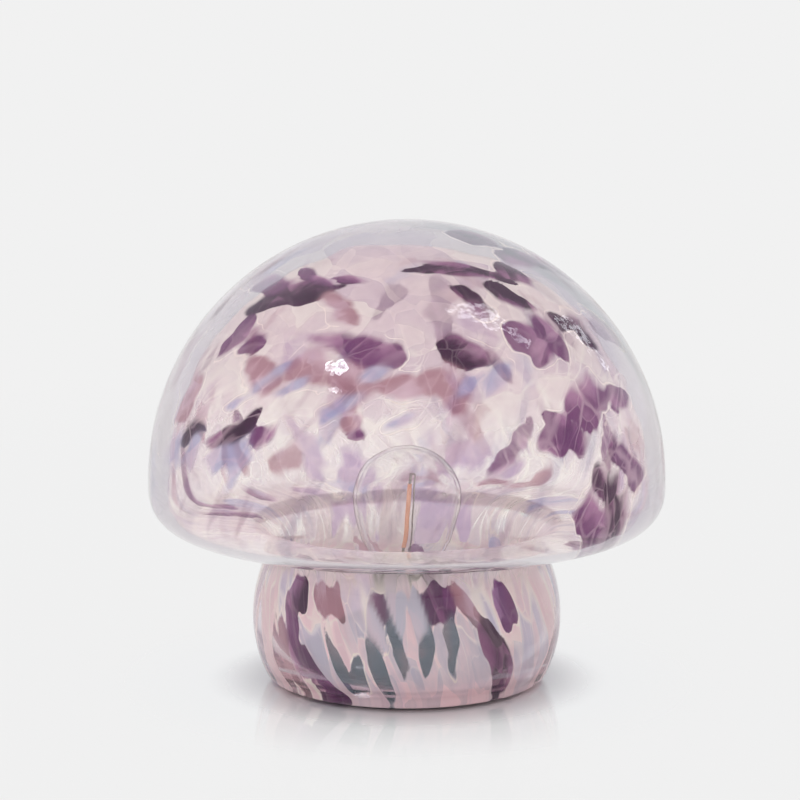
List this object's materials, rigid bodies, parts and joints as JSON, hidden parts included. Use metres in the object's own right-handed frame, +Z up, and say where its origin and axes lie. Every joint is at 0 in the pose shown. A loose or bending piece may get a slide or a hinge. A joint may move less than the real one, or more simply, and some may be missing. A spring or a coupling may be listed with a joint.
{
  "type": "portable table lamp",
  "caption": "Mushroom-shaped blown glass table lamp whose glass lifts off a battery light unit with a clear filament bulb, charging socket and underside push button.",
  "frame": {"origin": "on the table surface, on the lamp's vertical axis", "axes": "+Z up, -Y towards the picture's camera, +Y to the charging socket, +X to the right"},
  "size_m": [0.16, 0.16, 0.1436],
  "materials": {
    "mottled_glass": "mottled blown glass, polished outside",
    "clear_glass": "clear bulb glass",
    "black_plastic": "fine moulded texture",
    "button_plastic": "satin",
    "foot_silicone": "matte",
    "plate_paint": "powder coat",
    "screw_steel": "zinc plated",
    "cell_foil": "satin foil",
    "foam_tape": "foam",
    "board_green": "solder mask",
    "chip_black": "moulded epoxy",
    "connector_white": "moulded",
    "wire_red": "extruded",
    "wire_black": "extruded",
    "wire_white": "extruded",
    "socket_steel": "stamped",
    "switch_steel": "stamped",
    "clear_plastic": "clear moulded",
    "coil_ferrite": "ferrite",
    "plate_gold": "gold plated",
    "phosphor": "phosphor-loaded silicone",
    "filament_metal": "drawn wire",
    "seal_silicone": "translucent bead"
  },
  "bodies": {
    "base": {"foot_ring": "foot_silicone", "base_plate": "plate_paint", "plate_screws": "screw_steel", "housing": "black_plastic", "grip_ring": "foot_silicone", "battery_pad": "foam_tape", "battery_pack": "cell_foil", "battery_connector": "connector_white", "battery_lead_plus": "wire_red", "battery_lead_minus": "wire_black", "main_board": "board_green", "board_screws": "screw_steel", "board_parts": "chip_black", "usb_shell": "socket_steel", "usb_tongue": "chip_black", "light_pipe": "clear_plastic", "status_led": "connector_white", "tact_switch": "switch_steel", "tower": "black_plastic", "tower_screws": "screw_steel", "driver_board": "board_green", "driver_coil": "coil_ferrite", "driver_parts": "chip_black", "driver_leads": "wire_white", "lamp_leads": "wire_white", "filament_plate": "plate_gold", "bulb_seal": "seal_silicone", "bulb_envelope": "clear_glass", "led_filament": "phosphor", "filament_tabs": "filament_metal", "filament_leads": "filament_metal"},
    "shade": {"glass_shade": "mottled_glass"},
    "button": {"push_button": "button_plastic", "switch_plunger": "chip_black"}
  },
  "joints": [
    {"name": "shade_lift", "type": "slide", "parent": "base", "child": "shade", "axis": [0, 0, 1], "range_m": [0, 0.09]},
    {"name": "button_press", "type": "slide", "parent": "base", "child": "button", "axis": [0, 0, 1], "range_m": [0, 0.00035], "stiffness_N_per_m": 2500, "springref_m": -0.0003}
  ]
}
